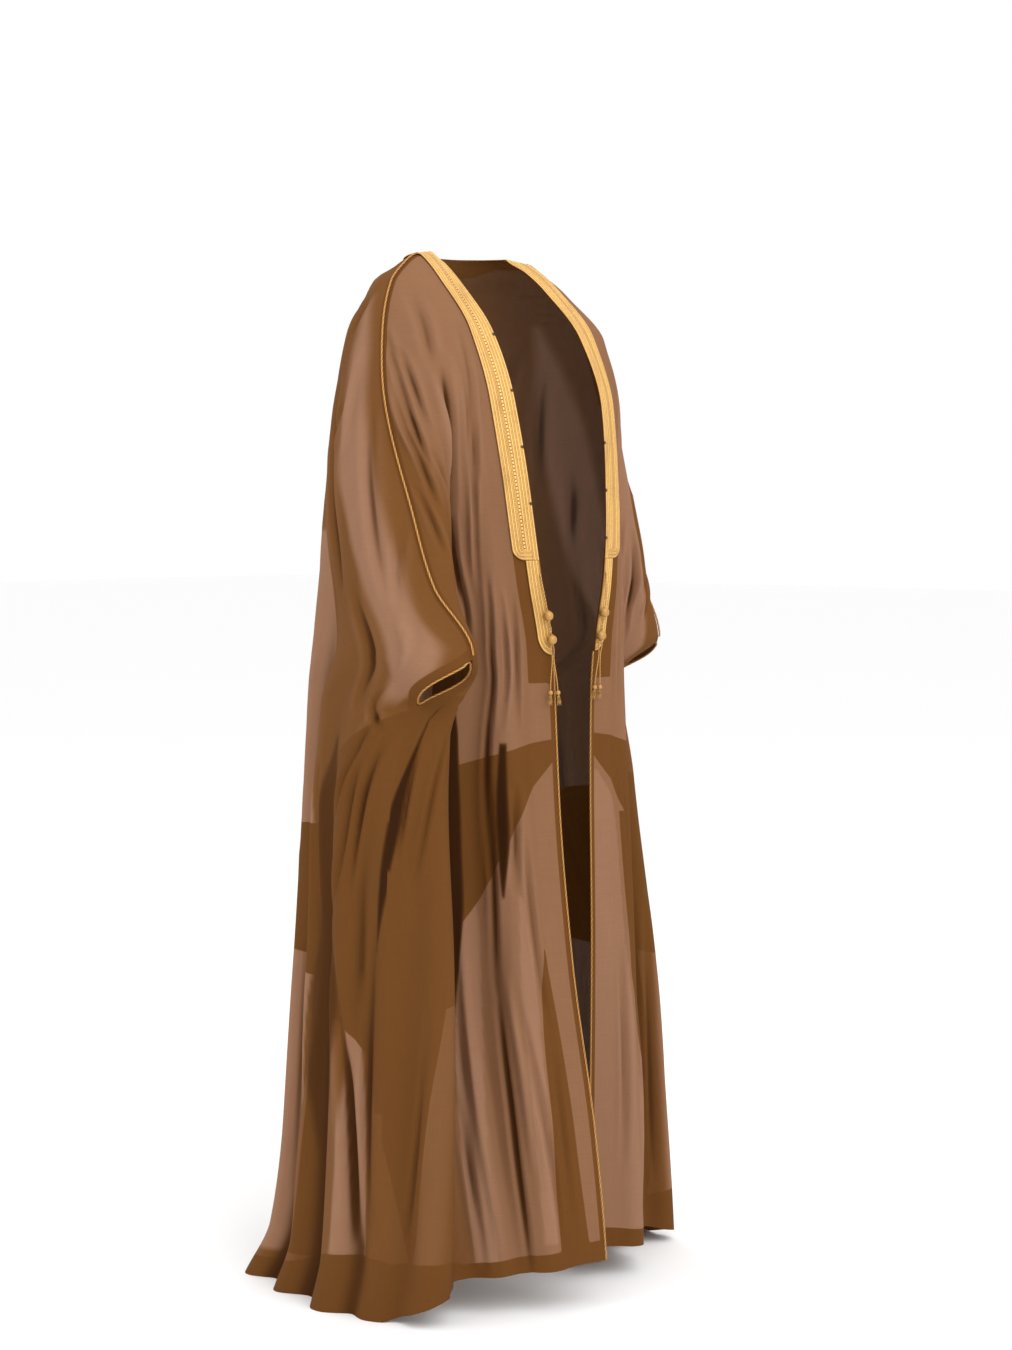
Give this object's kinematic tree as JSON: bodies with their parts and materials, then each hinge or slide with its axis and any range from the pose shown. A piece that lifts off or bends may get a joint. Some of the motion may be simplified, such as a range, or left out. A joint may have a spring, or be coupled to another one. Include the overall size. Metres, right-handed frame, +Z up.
{
  "type": "bisht cloak, as worn",
  "caption": "Long sheer brown cloak shown as worn, open at the front, with a gold embroidered neck band, gold seam cords and a pair of hanging tassels.",
  "frame": {"origin": "midway between the two points where the shoulder seams meet the neck, where the wearer's shoulders hold the cloak", "axes": "+Z up, towards the wearer's head; the wearer faces -Y, and the wearer's left is +X"},
  "size_m": [0.6884, 0.5685, 1.5224],
  "materials": {
    "cloth": "sheer plain weave wool",
    "doubled_cloth": "the same cloth, doubled",
    "gold_embroidery": "couched metallic thread",
    "gold_cord": "twisted metallic thread cord",
    "tassel_thread": "wound metallic thread"
  },
  "bodies": {
    "root": {"front_right_upper": "cloth", "front_left_upper": "cloth", "back_upper": "cloth", "front_right_lower": "cloth", "front_left_lower": "cloth", "back_lower": "cloth", "tuck_front_right": "doubled_cloth", "tuck_front_left": "doubled_cloth", "tuck_back": "doubled_cloth", "facing_right": "doubled_cloth", "facing_left": "doubled_cloth", "neck_band": "gold_embroidery", "narrow_band_right": "gold_embroidery", "narrow_band_left": "gold_embroidery", "edge_cord_right": "gold_cord", "edge_cord_left": "gold_cord", "shoulder_piping_right": "gold_cord", "shoulder_piping_left": "gold_cord", "cuff_cord_right": "gold_cord", "cuff_cord_left": "gold_cord", "tassel_head_right": "tassel_thread", "tassel_head_left": "tassel_thread", "tassel_string_right_1": "tassel_thread", "tassel_string_right_2": "tassel_thread", "tassel_string_left_1": "tassel_thread", "tassel_string_left_2": "tassel_thread"}
  },
  "joints": []
}
